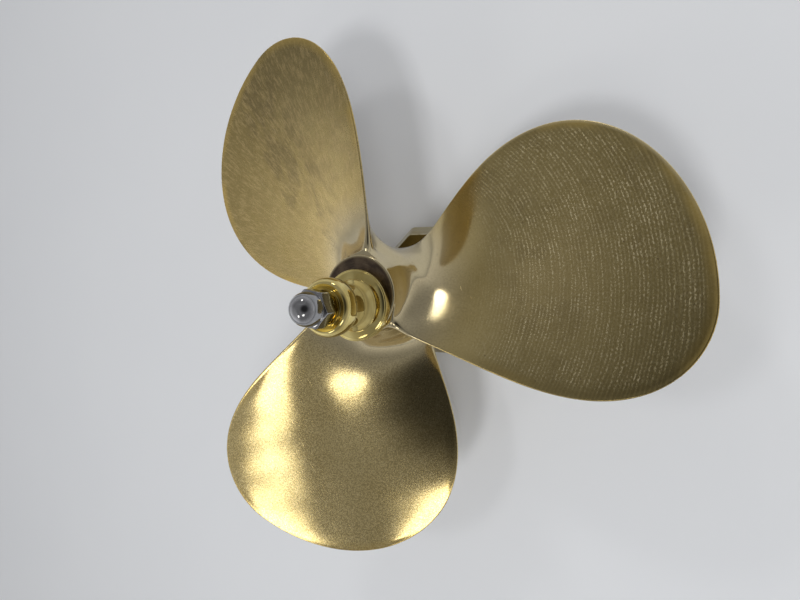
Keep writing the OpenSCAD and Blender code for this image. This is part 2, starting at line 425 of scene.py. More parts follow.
    def aligned(ringp):
        best, bs = None, 0
        t0 = np.arctan2(ringp[:, 1], ringp[:, 0])
        for sft in range(-6, 7):
            dd = np.angle(np.exp(1j * (np.roll(t0, sft) - thb)))
            c = (dd ** 2).sum()
            if best is None or c < best:
                best, bs = c, sft
        return np.roll(ringp, bs, axis=0)
    for ringp, z_end, r_rim in ((aligned(front), HUB_B, 21.4), (aligned(rear), HUB_A, 22.9)):
        sgn = 1.0 if z_end > 0 else -1.0
        rows = [ringp]
        th = np.arctan2(ringp[:, 1], ringp[:, 0])
        for al in np.linspace(0, np.pi / 2, 6)[1:]:
            rr_ = r_rim - (1 - math.cos(al))
            rows.append(np.stack([rr_ * np.cos(th), rr_ * np.sin(th), np.full(nring, z_end - sgn + sgn * math.sin(al))], -1))
        edge2 = rows[-1][:, :2]
        for f in (0.15, 0.4, 0.7, 1.0):
            xy = edge2 + (bore - edge2) * f
            rows.append(np.concatenate([xy, np.full((nring, 1), z_end)], 1))
        add(np.stack(rows), wrap=True)
    walls = [np.concatenate([bore, np.full((nring, 1), z)], 1) for z in np.linspace(HUB_A, HUB_B, 9)]
    add(np.stack(walls), wrap=True)
    V = np.concatenate(parts)
    V[:, 2] += BLADE_Z
    return new_object("propeller_casting", V, faces, sharp=50)


prop = make_propeller()
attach(prop, "propeller")
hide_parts("propeller")


def blade_outline(n=400):
    """Points along the middle of all three blades' rims, in millimetres."""
    out = []
    r = R0 + (R - R0) * (1 - (1 - np.linspace(0, 1, n)) ** 2)
    for side in (-1, 1):
        w = half_w(r, side)
        w[-1] = 0
        q = to_xyz(np.stack(cyl(r, side * w, -edge_r(r)), 0))
        for j in range(3):
            a = TURN + j * 2 * math.pi / 3
            c_, s_ = math.cos(a), math.sin(a)
            rot = np.array([[c_, s_, 0], [-s_, c_, 0], [0, 0, 1]])
            out.append(q @ rot + [0, 0, BLADE_Z])
    return np.concatenate(out)


BEND = (8.0, -96.0)


def finish_casting(ob):
    """Hand-polished waviness, a soft roll-off at the rims, and the data that the finish reads."""
    me = ob.data
    n = len(me.vertices)
    co = np.empty(n * 3)
    me.vertices.foreach_get("co", co)
    co = co.reshape(-1, 3) / MM
    no = np.empty(n * 3)
    me.vertex_normals.foreach_get("vector", no)
    no = no.reshape(-1, 3)
    pts = blade_outline()
    tree = kdtree.KDTree(len(pts))
    for i, q in enumerate(pts):
        tree.insert(q, i)
    tree.balance()
    rim = np.array([tree.find(q)[2] for q in co])
    r = np.hypot(co[:, 0], co[:, 1])
    x, y = co[:, 0], co[:, 1]
    wave = (np.sin(0.105 * x + 0.062 * y + 0.7) * np.sin(0.088 * y - 0.047 * x + 1.9)
            + 0.55 * np.sin(0.19 * x - 0.13 * y + 2.2) * np.sin(0.17 * y + 0.09 * x))
    on_blade = smooth01((r - 40.0) / 25.0) * smooth01((rim - 1.2) / 7.0)
    lift = 0.055 * wave * on_blade
    roll = -0.30 * np.exp(-np.maximum(rim - 0.9, 0) / 3.2) * smooth01((r - 34.0) / 16.0) * smooth01((rim - 0.2) / 1.6)
    co2 = co + no * (lift + roll)[:, None]
    # one blade's outer corner is bent back a little, both faces together
    e1 = np.array([0.6, -0.8])
    q = (x - BEND[0]) * e1[0] + (y - BEND[1]) * e1[1]
    side = -(x - BEND[0]) * e1[1] + (y - BEND[1]) * e1[0]
    t = np.clip(q / 28.0, 0, 1.6)
    co2[:, 2] -= 1.5 * t * t * np.exp(-(side / 30.0) ** 2) * smooth01((-y - 40.0) / 20.0)
    co2 *= MM
    me.vertices.foreach_set("co", co2.ravel())
    at = me.attributes.new("rim", "FLOAT", "POINT")
    at.data.foreach_set("value", np.clip(rim, 0, 40).astype(np.float32))
    # end faces of the hub are left as cast and turned, so they have a finish of their own
    idx = np.zeros(len(me.polygons), np.int32)
    cen = np.empty(len(me.polygons) * 3)
    me.polygons.foreach_get("center", cen)
    cen = cen.reshape(-1, 3) / MM
    pr = np.hypot(cen[:, 0], cen[:, 1])
    z0, z1 = BLADE_Z + HUB_A, BLADE_Z + HUB_B
    idx[(cen[:, 2] > z1 - 0.01) & (pr < 20.45)] = 1
    idx[(cen[:, 2] < z0 + 0.01) & (pr < 21.95)] = 1
    idx[(pr < BORE_R + KEY_D + 0.1) & (cen[:, 2] > z0 - 0.1) & (cen[:, 2] < z1 + 0.1)] = 1
    me.polygons.foreach_set("material_index", idx)
    me.update()


# ---------------------------------------------------------------- turned parts


def rounded(pts):
    """A profile of (radius, height, fillet) with each corner rounded by its fillet."""
    out = []
    n = len(pts)
    for i in range(n):
        p = np.array(pts[i][:2], float)
        f = pts[i][2] if len(pts[i]) > 2 else 0
        if f <= 0:
            out.append(p)
            continue
        a = np.array(pts[i - 1][:2], float)
        b = np.array(pts[(i + 1) % n][:2], float)
        u, v = a - p, b - p
        lu, lv = np.linalg.norm(u), np.linalg.norm(v)
        u, v = u / lu, v / lv
        half = math.acos(max(-1, min(1, float(u @ v)))) / 2
        t = min(f / math.tan(half), 0.49 * lu, 0.49 * lv)
        rad = t * math.tan(half)
        c = p + (u + v) / np.linalg.norm(u + v) * (rad / math.sin(half))
        a0 = p + u * t - c
        b0 = p + v * t - c
        ang = math.acos(max(-1, min(1, float(a0 @ b0) / (rad * rad))))
        k = max(3, int(ang / math.radians(11)) + 1)
        sn = math.sin(ang)
        for q in range(k + 1):
            w = q / k
            out.append(c + (math.sin((1 - w) * ang) * a0 + math.sin(w * ang) * b0) / sn)
    return out


def curve_through(pts, n=7):
    """A smooth curve through points, for the sweeps of a turned profile."""
    P = np.array([pts[0]] + list(pts) + [pts[-1]], float)
    out = []
    for i in range(1, len(P) - 2):
        a, b, c, d = P[i - 1], P[i], P[i + 1], P[i + 2]
        for t in np.linspace(0, 1, n, endpoint=False):
            out.append(0.5 * (2 * b + (c - a) * t + (2 * a - 5 * b + 4 * c - d) * t ** 2 + (3 * b - a - 3 * c + d) * t ** 3))
    out.append(P[-2])
    return [tuple(q) for q in out]


def lathe(name, profile, cx, cy, z0, n=192, sharp=40):
    """A closed ring turned from a closed profile of (radius, height) points."""
    prof = np.array([tuple(q)[:2] for q in profile])
    th = np.linspace(0, 2 * math.pi, n, endpoint=False)
    V = np.stack([cx + prof[:, 0:1] * np.cos(th), cy + prof[:, 0:1] * np.sin(th), z0 + prof[:, 1:2] + 0 * th], -1)
    m_ = len(prof)
    idx = np.arange(m_ * n).reshape(m_, n)
    idx = np.concatenate([idx, idx[:1]])
    return new_object(name, V.reshape(-1, 3), grid_faces(idx, wrap=True), sharp=sharp)


def dress(ob, body, node, slot, *mats):
    for q in mats:
        ob.data.materials.append(q)
    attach(ob, body)
    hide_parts(node)
    return ob


def box_mm(node):
    lo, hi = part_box(node)
    return [v / MM for v in lo], [v / MM for v in hi]


lo, hi = box_mm("flange_collar")
FX, FY, FZ = (lo[0] + hi[0]) / 2, (lo[1] + hi[1]) / 2, lo[2]
CZ = box_mm("cup_collar")[0][2]
NZ = box_mm("dome_nut")[0][2]
ROD = 5.0

fr, ff, fw, fh = 18.65, 4.4, 8.5, 23.8
flange_profile = rounded([(ROD + 0.3, 0), (fr, 0, 0.5), (fr, ff - 0.62, 0.12), (fr - 0.16, ff - 0.5, 0.1),
                          (fr - 0.16, ff - 0.28, 0.1), (fr, ff - 0.16, 0.1), (fr - 0.02, ff + 0.16, 0.22),
                          (fr - 0.5, ff + 0.42, 0.2)])
flange_profile += curve_through([(fr - 0.75, ff + 0.62), (fr - 1.6, ff + 1.02), (fr - 3.2, ff + 1.42),
                                 (fr - 4.55, ff + 1.62)])
flange_profile += [(fr - 4.85, ff + 1.68), (fr - 5.02, ff + 1.79), (fr - 5.18, ff + 2.0), (fr - 5.32, ff + 2.26)]
flange_profile += curve_through([(fr - 5.45, ff + 2.42), (fw + 3.2, ff + 4.15), (fw + 1.7, ff + 6.15), (fw + 0.72, ff + 8.8),
                                 (fw + 0.12, ff + 12), (fw, fh - 5.4), (fw + 0.3, fh - 3.2), (fw + 1.1, fh - 1.6),
                                 (fw + 2.3, fh - 0.5)])
flange_profile += [(fw + 2.85, fh - 0.12), (fw + 2.9, fh), (ROD + 0.3, fh)]

cr, ch, sh_, na = 14.4, 8.8, 11.5, 8.5
cup_profile = rounded([(ROD + 0.3, 0), (cr - 0.6, 0, 0.35), (cr - 0.28, 0.55, 0.25), (cr - 0.28, 0.95, 0.1),
                       (cr - 0.62, 1.15, 0.1), (cr - 0.62, 1.4, 0.1), (cr - 0.2, 1.55, 0.15)])
cup_profile += curve_through([(cr - 0.12, 1.8), (cr, 3.2), (cr, 4.4), (cr - 0.14, 5.8), (cr - 0.68, 7.2), (cr - 1.6, 8.25),
                              (cr - 2.7, ch - 0.02), (cr - 3.5, ch - 0.52), (cr - 4.3, ch - 1.2), (cr - 5.2, ch - 1.62)])
cup_profile += [(na + 0.3, ch - 1.72), (na - 0.02, ch - 1.5), (na - 0.12, ch - 1.2)]
cup_profile += rounded([(na - 0.12, sh_ - 1), (na - 0.15, sh_, 0.4), (ROD + 0.3, sh_)])[1:]

rr_, rh = 20.0, box_mm("rear_collar")[1][2] - box_mm("rear_collar")[0][2]
RZ = box_mm("rear_collar")[0][2]
rear_profile = rounded([(10.4, 0), (rr_, 0, 0.6), (rr_, 4.1, 0.5), (rr_ - 1, 4.7, 0.25)])
rear_profile += curve_through([(rr_ - 1.25, 5.0), (rr_ - 2.2, 6.8), (rr_ - 2.8, rh / 2), (rr_ - 2.2, rh - 6.8), (rr_ - 1.25, rh - 5.0)])
rear_profile += rounded([(rr_ - 1, rh - 4.7, 0.25), (rr_, rh - 4.1, 0.5), (rr_, rh, 0.6), (10.4, rh)])


def hex_radius(th, af, p=60.0):
    """Polar outline of a hexagon with very slightly broken corners."""
    q = sum(np.maximum(np.cos(th - k * math.pi / 3 - math.pi / 6), 0.0) ** p for k in range(6))
    return af / 2 / q ** (1.0 / p)


def make_dome_nut():
    af, hh, dr, total, bore, deep = 17.0, 8.0, 8.0, 18.0, 5.05, 13.5
    n = 300
    th = np.linspace(0, 2 * math.pi, n, endpoint=False)
    rx = hex_radius(th, af)
    cmax = af / 2 / math.cos(math.pi / 6)
    tan = (cmax - af / 2) / 0.78                # how steeply the turned end cuts the corners
    rows = []

    def row(r, z):
        rows.append(np.stack([r + 0 * th, z + 0 * th], -1))

    row(bore, 0.35)
    row(bore + 0.35, 0.0)
    row(af / 2 - 0.5, 0.0)
    row(np.minimum(rx, af / 2 - 0.02), 0.0)
    ch0 = (rx - af / 2 + 0.02) / tan * 0.35 + 0.02
    row(rx - 0.03, ch0)
    row(rx, ch0 + 0.06)
    zt = hh - np.maximum(rx - af / 2, 0) / tan - 0.12
    for f in (0.25, 0.5, 0.75, 1.0):
        row(rx, ch0 + 0.06 + (zt - ch0 - 0.06) * f)
    row(rx - 0.03, zt + 0.06)
    row(rx - 0.10, zt + 0.12)
    rt = np.minimum(rx - 0.10, af / 2 - 0.12)
    for f in (0.33, 0.66, 1.0):
        row(rx - 0.10 + (rt - rx + 0.10) * f, zt + 0.12 + (hh - zt - 0.12) * f)
    row(dr + 0.22, hh + 0.03)
    row(dr + 0.07, hh + 0.12)
    row(dr, hh + 0.32)
    row(dr, (hh + total - dr) / 2)
    c = total - dr
    for a in np.linspace(0, math.pi / 2, 24)[:-1]:
        row(dr * math.cos(a), c + dr * math.sin(a))
    outer = np.stack(rows)
    V, faces = [], []
    cosn, sinn = np.cos(th + NUT_TURN), np.sin(th + NUT_TURN)
    for q in outer:
        V += list(zip(FX + q[:, 0] * cosn, FY + q[:, 0] * sinn, NZ + q[:, 1]))
    m_ = len(outer)
    idx = np.arange(m_ * n).reshape(m_, n)
    faces += grid_faces(idx, wrap=True)
    V.append((FX, FY, NZ + total))
    top = len(V) - 1
    last = idx[-1]
    faces += [[int(last[i]), int(last[(i + 1) % n]), top] for i in range(n)]
    # blind hole
    inner = [(bore, 2.0), (bore, 7.0), (bore, deep), (bore * 0.6, deep + 1.3)]
    base = len(V)
    for r, z in inner:
        V += list(zip(FX + r * cosn, FY + r * sinn, [NZ + z] * n))
    ii = np.concatenate([idx[:1], base + np.arange(len(inner) * n).reshape(len(inner), n)])
    faces += grid_faces(ii, wrap=True)
    V.append((FX, FY, NZ + deep + 1.9))
    end = len(V) - 1
    last = ii[-1]
    faces += [[int(last[i]), int(last[(i + 1) % n]), end] for i in range(n)]
    return new_object("dome_nut_chrome", V, faces, sharp=30)


NUT_TURN = math.radians(-9)


def octagon(d, rc, n=160):
    """The base block's outline drawn in by d, its corners rounded, as points at even angles."""
    a = B_AF / 2 - d
    b = (B_CF / 2 - d) * math.sqrt(2) - a
    pts = [(a, -b), (a, b), (b, a), (-b, a), (-a, b), (-a, -b), (-b, -a), (b, -a)]
    poly = np.array(rounded([(x, y, rc) for x, y in pts]))
    poly = np.concatenate([poly, poly[:1]])
    L = np.r_[0, np.cumsum(np.hypot(*np.diff(poly, axis=0).T))]
    fine = np.linspace(0, L[-1], 4000)
    px, py = np.interp(fine, L, poly[:, 0]), np.interp(fine, L, poly[:, 1])
    ang = np.unwrap(np.arctan2(py, px))
    want = np.mod(OCT_ANG - ang[0], 2 * math.pi) + ang[0]
    return np.stack([np.interp(want, ang, px), np.interp(want, ang, py)], -1)


B_AF, B_CF = 85.4, 81.5
lo, hi = box_mm("base_block")
BX, BY, BZ0, BZ1 = (lo[0] + hi[0]) / 2, (lo[1] + hi[1]) / 2, lo[2], hi[2]


def corner_angles(n=320):
    """Angles that bunch up around the outline's eight corners."""
    a = B_AF / 2
    b = (B_CF / 2) * math.sqrt(2) - a
    cor = np.sort(np.mod(np.arctan2([-b, b, a, a, b, -b, -a, -a], [a, a, b, -b, -a, -a, -b, b]), 2 * math.pi))
    t = np.linspace(0, 2 * math.pi, 20001)
    dist = np.abs(np.angle(np.exp(1j * (t[:, None] - cor[None])))).min(1)
    dens = 1 + 5 * np.exp(-(dist / 0.075) ** 2)
    cum = np.r_[0, np.cumsum((dens[1:] + dens[:-1]) / 2)]
    return np.interp(np.linspace(0, cum[-1], n, endpoint=False), cum, t)


OCT_ANG = corner_angles()


def make_base_block():
    rows = []
    bw, bh = 6.0, 9.0
    # side wall, bevel and top, with each arris eased
    steps = [(0.7, BZ0), (0.2, BZ0 + 0.2), (0.0, BZ0 + 0.7), (0.0, BZ0 + 5), (0.0, BZ0 + 10), (0.0, BZ1 - bh - 1.3)]
    ang = math.atan2(bw, bh)
    for f in np.linspace(0, 1, 7)[1:]:
        a = ang * f
        steps.append((2.6 * (1 - math.cos(a)), BZ1 - bh - 1.3 + 2.6 * math.sin(a) * 0.62))
    d0, z0 = steps[-1]
    d1, z1 = bw - 0.55, BZ1 - 0.85
    for f in (0.2, 0.5, 0.8, 1.0):
        steps.append((d0 + (d1 - d0) * f, z0 + (z1 - z0) * f))
    for f in np.linspace(0, 1, 7)[1:]:
        a = f * math.pi / 2
        steps.append((d1 + 1.15 * f ** 1.2, z1 + 0.85 * math.sin(a)))
    for d, z in steps:
        q = octagon(d, max(5.0 - 0.35 * d, 1.0))
        rows.append(np.concatenate([q, np.full((len(q), 1), z)], 1))
    edge = rows[-1][:, :2]
    hr, rr, rh_ = 11.5, 25.0, 15.0
    hole = np.stack([hr * np.cos(OCT_ANG), hr * np.sin(OCT_ANG)], -1)
    rec = np.stack([rr * np.cos(OCT_ANG), rr * np.sin(OCT_ANG)], -1)
    n = len(edge)

    def flat(q, z):
        rows.append(np.concatenate([q, np.full((n, 1), z)], 1))
    for f in (0.25, 0.55, 0.85):
        flat(edge + (hole * 1.045 - edge) * f, BZ1)
    flat(hole * 1.045, BZ1)
    flat(hole * 1.0, BZ1 - 0.5)
    flat(hole, (BZ1 + BZ0 + rh_) / 2)
    flat(hole, BZ0 + rh_)
    flat(rec * 0.6, BZ0 + rh_)
    flat(rec, BZ0 + rh_)
    flat(rec, BZ0 + rh_ / 2)
    flat(rec, BZ0)
    inner = octagon(0.7, 4.5)
    flat(rec + (inner - rec) * 0.5, BZ0)
    R_ = np.stack(rows)
    R_[..., 0] += BX
    R_[..., 1] += BY
    idx = np.arange(R_.shape[0] * n).reshape(-1, n)
    idx = np.concatenate([idx, idx[:1]])
    return new_object("base_block_bevelled", R_.reshape(-1, 3), grid_faces(idx, wrap=True), sharp=35)


def make_pad():
    lo, hi = box_mm("base_pad")
    z0, z1 = lo[2], hi[2]
    rows = []
    steps = [(2.9, z1, f) for f in (0.2, 0.5, 0.8)]
    steps += [(2.9, z1, 1), (2.3, z1 - 0.08, 1), (2.05, z1 - 0.35, 1), (2.0, (z0 + z1) / 2, 1), (2.08, z0 + 0.4, 1), (2.35, z0 + 0.1, 1), (3.0, z0, 1)]
    steps += [(3.0, z0, f) for f in (0.8, 0.5, 0.2)]
    for d, z, f in steps:
        q = octagon(d, 4.2) * f
        if f == 1:                         # a cut edge of felt is never quite straight
            q = q * (0.9984 + 0.0014 * np.sin(23 * OCT_ANG) * np.sin(57 * OCT_ANG + 1.0))[:, None]
        rows.append(np.concatenate([q, np.full((len(q), 1), z)], 1))
    n = len(OCT_ANG)
    R_ = np.stack(rows)
    R_[..., 0] += BX
    R_[..., 1] += BY
    V = R_.reshape(-1, 3).tolist()
    idx = np.arange(R_.shape[0] * n).reshape(-1, n)
    faces = grid_faces(idx, wrap=True)
    for ring_, z in ((idx[0], z1), (idx[-1], z0)):
        V.append((BX, BY, z))
        faces += [[int(ring_[i]), int(ring_[(i + 1) % n]), len(V) - 1] for i in range(n)]
    return new_object("base_pad_felt", V, faces, sharp=50)


def make_spindle():
    """Threaded rod, its thread a true helix that runs out at both ends."""
    lo, hi = box_mm("spindle")
    z0, z1 = lo[2], hi[2]
    pitch, n, per = 1.5, 36, 6
    th = np.linspace(0, 2 * math.pi, n, endpoint=False)
    zs = np.arange(z0 + 0.9, z1 - 0.9, pitch / per)
    V = []
    rows = [(ROD - 1.0, z0)]
    for z in zs:
        ph = np.mod((z - pitch * th / (2 * math.pi)) / pitch, 1.0)
        tri = np.abs(2 * ph - 1)
        r = ROD - 0.86 * np.clip((tri - 0.12) / 0.76, 0, 1)
        fade = min(1.0, (z - z0) / 2.0, (z1 - z) / 2.0)
        rows.append((r * fade + (ROD - 0.86) * (1 - fade), z))
    rows.append((ROD - 1.0, z1))
    for r, z in rows:
        r = r + 0 * th
        V += list(zip(FX + r * np.cos(th), FY + r * np.sin(th), [z] * n))
    idx = np.arange(len(rows) * n).reshape(-1, n)
    faces = grid_faces(idx, wrap=True)
    for ring_, z in ((idx[0], z0), (idx[-1], z1)):
        V.append((FX, FY, z))
        faces += [[int(ring_[i]), int(ring_[(i + 1) % n]), len(V) - 1] for i in range(n)]
    return new_object("spindle_thread", V, faces, sharp=35)


# ---------------------------------------------------------------- materials


class Mat:
    """Small helper that wires one procedural material."""

    def __init__(self, name):
        self.m = bpy.data.materials.new(name)
        self.m.use_nodes = True
        self.t = self.m.node_tree
        self.b = self.t.nodes["Principled BSDF"]
        tc = self.t.nodes.new("ShaderNodeTexCoord")
        v = self.t.nodes.new("ShaderNodeVectorMath")
        v.operation = "SCALE"
        v.inputs["Scale"].default_value = 1000.0
        self.t.links.new(tc.outputs["Object"], v.inputs[0])
        self.P = v.outputs[0]                   # millimetres
        sx = self.t.nodes.new("ShaderNodeSeparateXYZ")
        self.t.links.new(self.P, sx.inputs[0])
        self.x, self.y, self.z = sx.outputs

    def put(self, sock, v):
        if isinstance(v, (int, float)):
            sock.default_value = v
        elif isinstance(v, tuple):
            sock.default_value = v if len(v) == len(sock.default_value) else (*v, 1.0)
        else:
            self.t.links.new(v, sock)

    def op(self, kind, a, b=None, c=None, clamp=False):
        n = self.t.nodes.new("ShaderNodeMath")
        n.operation = kind
        n.use_clamp = clamp
        for i, v in enumerate((a, b, c)):
            if v is not None:
                self.put(n.inputs[i], v)
        return n.outputs[0]

    def step(self, v, a, b):
        """0 below a, 1 above b, smooth between them (a may be above b)."""
        n = self.t.nodes.new("ShaderNodeMapRange")
        n.interpolation_type = "SMOOTHSTEP"
        if a > b:
            n.inputs["To Min"].default_value, n.inputs["To Max"].default_value = 1.0, 0.0
            a, b = b, a
        self.put(n.inputs["Value"], v)
        n.inputs["From Min"].default_value, n.inputs["From Max"].default_value = a, b
        return n.outputs["Result"]

    def span(self, v, a, b, c, d):
        """Straight map from a..b to c..d."""
        n = self.t.nodes.new("ShaderNodeMapRange")
        self.put(n.inputs["Value"], v)
        for k, q in zip(("From Min", "From Max", "To Min", "To Max"), (a, b, c, d)):
            n.inputs[k].default_value = q
        return n.outputs["Result"]

    def vec(self, x, y, z):
        n = self.t.nodes.new("ShaderNodeCombineXYZ")
        for i, v in enumerate((x, y, z)):
            self.put(n.inputs[i], v)
        return n.outputs[0]

    def noise(self, vec, scale=1.0, detail=2.0, rough=0.5, warp=0.0):
        n = self.t.nodes.new("ShaderNodeTexNoise")
        self.put(n.inputs["Vector"], vec)
        n.inputs["Scale"].default_value = scale
        n.inputs["Detail"].default_value = detail
        n.inputs["Roughness"].default_value = rough
        n.inputs["Distortion"].default_value = warp
        return n.outputs["Fac"]

    def cells(self, vec, scale=1.0, feature="F1"):
        n = self.t.nodes.new("ShaderNodeTexVoronoi")
        n.feature = feature
        self.put(n.inputs["Vector"], vec)
        n.inputs["Scale"].default_value = scale
        return n.outputs["Distance"]

    def mix(self, f, a, b, mode="MIX"):
        n = self.t.nodes.new("ShaderNodeMix")
        n.data_type = "RGBA"
        n.blend_type = mode
        self.put(n.inputs[0], f)
        self.put(n.inputs[6], a)
        self.put(n.inputs[7], b)
        return n.outputs[2]

    def lerp(self, f, a, b):
        """Number mix: a + (b - a) * f."""
        if isinstance(a, (int, float)) and isinstance(b, (int, float)):
            return self.op("MULTIPLY_ADD", f, b - a, a)
        return self.op("MULTIPLY_ADD", f, self.op("SUBTRACT", b, a), a)

    def attr(self, name):
        n = self.t.nodes.new("ShaderNodeAttribute")
        n.attribute_name = name
        return n.outputs["Fac"]

    def bump(self, height, strength, dist_mm):
        n = self.t.nodes.new("ShaderNodeBump")
        n.inputs["Strength"].default_value = strength
        n.inputs["Distance"].default_value = dist_mm * MM
        self.put(n.inputs["Height"], height)
        self.t.links.new(n.outputs[0], self.b.inputs["Normal"])

    def done(self, color, rough, metal=1.0):
        self.put(self.b.inputs["Base Color"], color)
        self.put(self.b.inputs["Roughness"], rough)
        self.b.inputs["Metallic"].default_value = metal
        return self.m


def bronze_material():
    M = Mat("polished_bronze")
    r = M.op("SQRT", M.op("ADD", M.op("MULTIPLY", M.x, M.x), M.op("MULTIPLY", M.y, M.y)))
    ang = M.op("ARCTAN2", M.y, M.x)
    rim = M.attr("rim")
    inv = M.op("DIVIDE", 1.0, M.op("MAXIMUM", r, 5.0))

    def toward(deg, a, b, ra=30.0, rb=48.0):
        c = M.op("MULTIPLY", M.op("ADD", M.op("MULTIPLY", M.x, math.cos(math.radians(deg))),
                                  M.op("MULTIPLY", M.y, math.sin(math.radians(deg)))), inv)
        return M.op("MULTIPLY", M.step(c, a, b), M.step(r, ra, rb))
    b0 = toward(0.5, 0.40, 0.60, 60.0, 84.0)      # polished along arcs around the hub
    b1 = toward(120.5, 0.40, 0.60)    # brushed lengthwise
    b2 = toward(240.5, 0.40, 0.60)    # buffed bright
    patch = M.noise(M.P, 0.028, 3.0, 0.55)
    patch2 = M.noise(M.P, 0.09, 3.0, 0.6, 0.4)
    grain = M.noise(M.P, 1.5, 2.0, 0.6)
    # arcs and their bright specks
    arcs = M.noise(M.vec(M.op("MULTIPLY", r, 0.45), M.op("MULTIPLY", ang, 5.0), 0.0), 1.0, 2.0, 0.6)
    wob = M.op("MULTIPLY", M.noise(M.vec(M.op("MULTIPLY", r, 0.10), M.op("MULTIPLY", ang, 3.0), 4.0), 1.0, 2.0, 0.6), 14.0)
    line = M.op("SINE", M.op("ADD", M.op("MULTIPLY", r, 3.6), wob))
    dots = M.noise(M.vec(M.op("MULTIPLY", r, 1.55), M.op("MULTIPLY", ang, 125.0), M.op("MULTIPLY", M.z, 0.02)), 1.0, 1.0, 0.6)
    line_on = M.step(line, -0.1, 0.75)
    arcs_on = M.op("MULTIPLY", line_on, M.step(arcs, 0.34, 0.56))
    spot = M.op("MULTIPLY", M.step(dots, 0.49, 0.58), M.op("MULTIPLY_ADD", arcs_on, 0.84, 0.16))
    spot = M.op("MULTIPLY", spot, M.span(patch2, 0.35, 0.6, 0.45, 1.0))
    spot = M.op("MULTIPLY", spot, M.op("MULTIPLY", M.step(r, 42.0, 90.0), M.step(rim, 2.5, 8.0)))
    # lengthwise strokes
    strokes = M.noise(M.vec(M.op("MULTIPLY", ang, 125.0), M.op("MULTIPLY", r, 0.16), 0.3), 1.0, 2.5, 0.65, 0.25)
    fine = M.noise(M.vec(M.op("MULTIPLY", ang, 150.0), M.op("MULTIPLY", r, 0.11), 1.7), 1.0, 1.0, 0.5)
    stroke_on = M.step(strokes, 0.46, 0.64)
    # a few stray scratches in every direction
    scr = M.noise(M.vec(M.op("MULTIPLY", M.op("ADD", M.x, M.op("MULTIPLY", M.y, 0.6)), 1.3),
                        M.op("MULTIPLY", M.op("SUBTRACT", M.y, M.op("MULTIPLY", M.x, 0.6)), 0.07), 0.0), 1.0, 1.0, 0.5, 0.9)
    scratch = M.step(scr, 0.72, 0.78)
    speck = M.noise(M.P, 1.15, 2.0, 0.7)
    swirl = M.noise(M.vec(M.op("MULTIPLY", M.op("ADD", M.y, M.op("MULTIPLY", M.op("SINE", M.op("MULTIPLY", M.x, 0.045)), 14.0)), 1.1),
                          M.op("MULTIPLY", M.x, 0.16), 0.0), 1.0, 2.0, 0.6)

    # colour
    col = M.mix(M.step(patch, 0.35, 0.68), (0.62, 0.49, 0.215), (0.56, 0.43, 0.170))
    col = M.mix(M.op("MULTIPLY", b0, 0.80), col, (0.40, 0.31, 0.128))
    # painted reflection: a fan-shaped lighter band on the arc-polished blade, from the root outwards
    painted_reflection_fan = M.op("ABSOLUTE", M.op("SUBTRACT", ang, 0.10))
    painted_reflection_fan = M.op("MULTIPLY", M.step(painted_reflection_fan, 0.38, 0.06), M.step(r, 132.0, 84.0))
    col = M.mix(M.op("MULTIPLY", b0, M.op("MULTIPLY", painted_reflection_fan, 0.70)), col, (0.56, 0.435, 0.195))
    # painted darker reflection: the arc-polished blade darker towards its tip
    col = M.mix(M.op("MULTIPLY", b0, M.op("MULTIPLY", M.step(r, 102.0, 150.0), 0.62)), col, (0.285, 0.222, 0.088))
    mott = M.noise(M.P, 0.055, 3.0, 0.6, 0.5)
    col = M.mix(M.op("MULTIPLY", b0, M.op("MULTIPLY", M.step(mott, 0.50, 0.68), 0.32)), col, (0.26, 0.195, 0.085))
    col = M.mix(M.op("MULTIPLY", b0, M.op("MULTIPLY", line_on, 0.20)), col, (0.60, 0.47, 0.20))
    col = M.mix(M.op("MULTIPLY", b0, M.op("MULTIPLY", arcs_on, 0.22)), col, (0.60, 0.47, 0.20))
    col = M.mix(M.op("MULTIPLY", toward(0.5, 0.40, 0.60, 40.0, 62.0), M.op("MULTIPLY", spot, 0.95)), col, (1.0, 0.87, 0.54))
    col = M.mix(M.op("MULTIPLY", b1, M.op("MULTIPLY", M.step(patch2, 0.42, 0.62), 0.45)), col, (0.47, 0.355, 0.165))
    # painted darker reflection: the brushed blade darker towards its tip and along one side
    col = M.mix(M.op("MULTIPLY", b1, M.op("MULTIPLY", M.step(r, 80.0, 150.0), 0.88)), col, (0.31, 0.24, 0.102))
    across = M.op("ADD", M.op("MULTIPLY", M.x, -0.8616), M.op("MULTIPLY", M.y, -0.5075))
    col = M.mix(M.op("MULTIPLY", b1, M.op("MULTIPLY", M.step(across, -12.0, 32.0), 0.42)), col, (0.48, 0.355, 0.120))
    # painted dark reflection: a lengthwise dark streak down the middle of the brushed blade
    painted_reflection_smear = M.noise(M.vec(M.op("MULTIPLY", across, 0.075), M.op("MULTIPLY", r, 0.028), 2.0), 1.0, 3.0, 0.62, 0.8)
    painted_reflection_smear = M.op("MULTIPLY", M.step(painted_reflection_smear, 0.44, 0.62), M.op("MULTIPLY", M.step(across, -14.0, 8.0), M.step(across, 48.0, 26.0)))
    col = M.mix(M.op("MULTIPLY", b1, M.op("MULTIPLY", painted_reflection_smear, 0.55)), col, (0.24, 0.185, 0.090))
    col = M.mix(M.op("MULTIPLY", b1, M.op("MULTIPLY", stroke_on, 0.46)), col, (0.80, 0.60, 0.28))
    # painted reflection of the floor: paler, greyer colour near the hub
    pale = M.op("MULTIPLY", M.step(r, 60.0, 30.0), 0.75)
    col = M.mix(pale, col, (0.62, 0.545, 0.375))
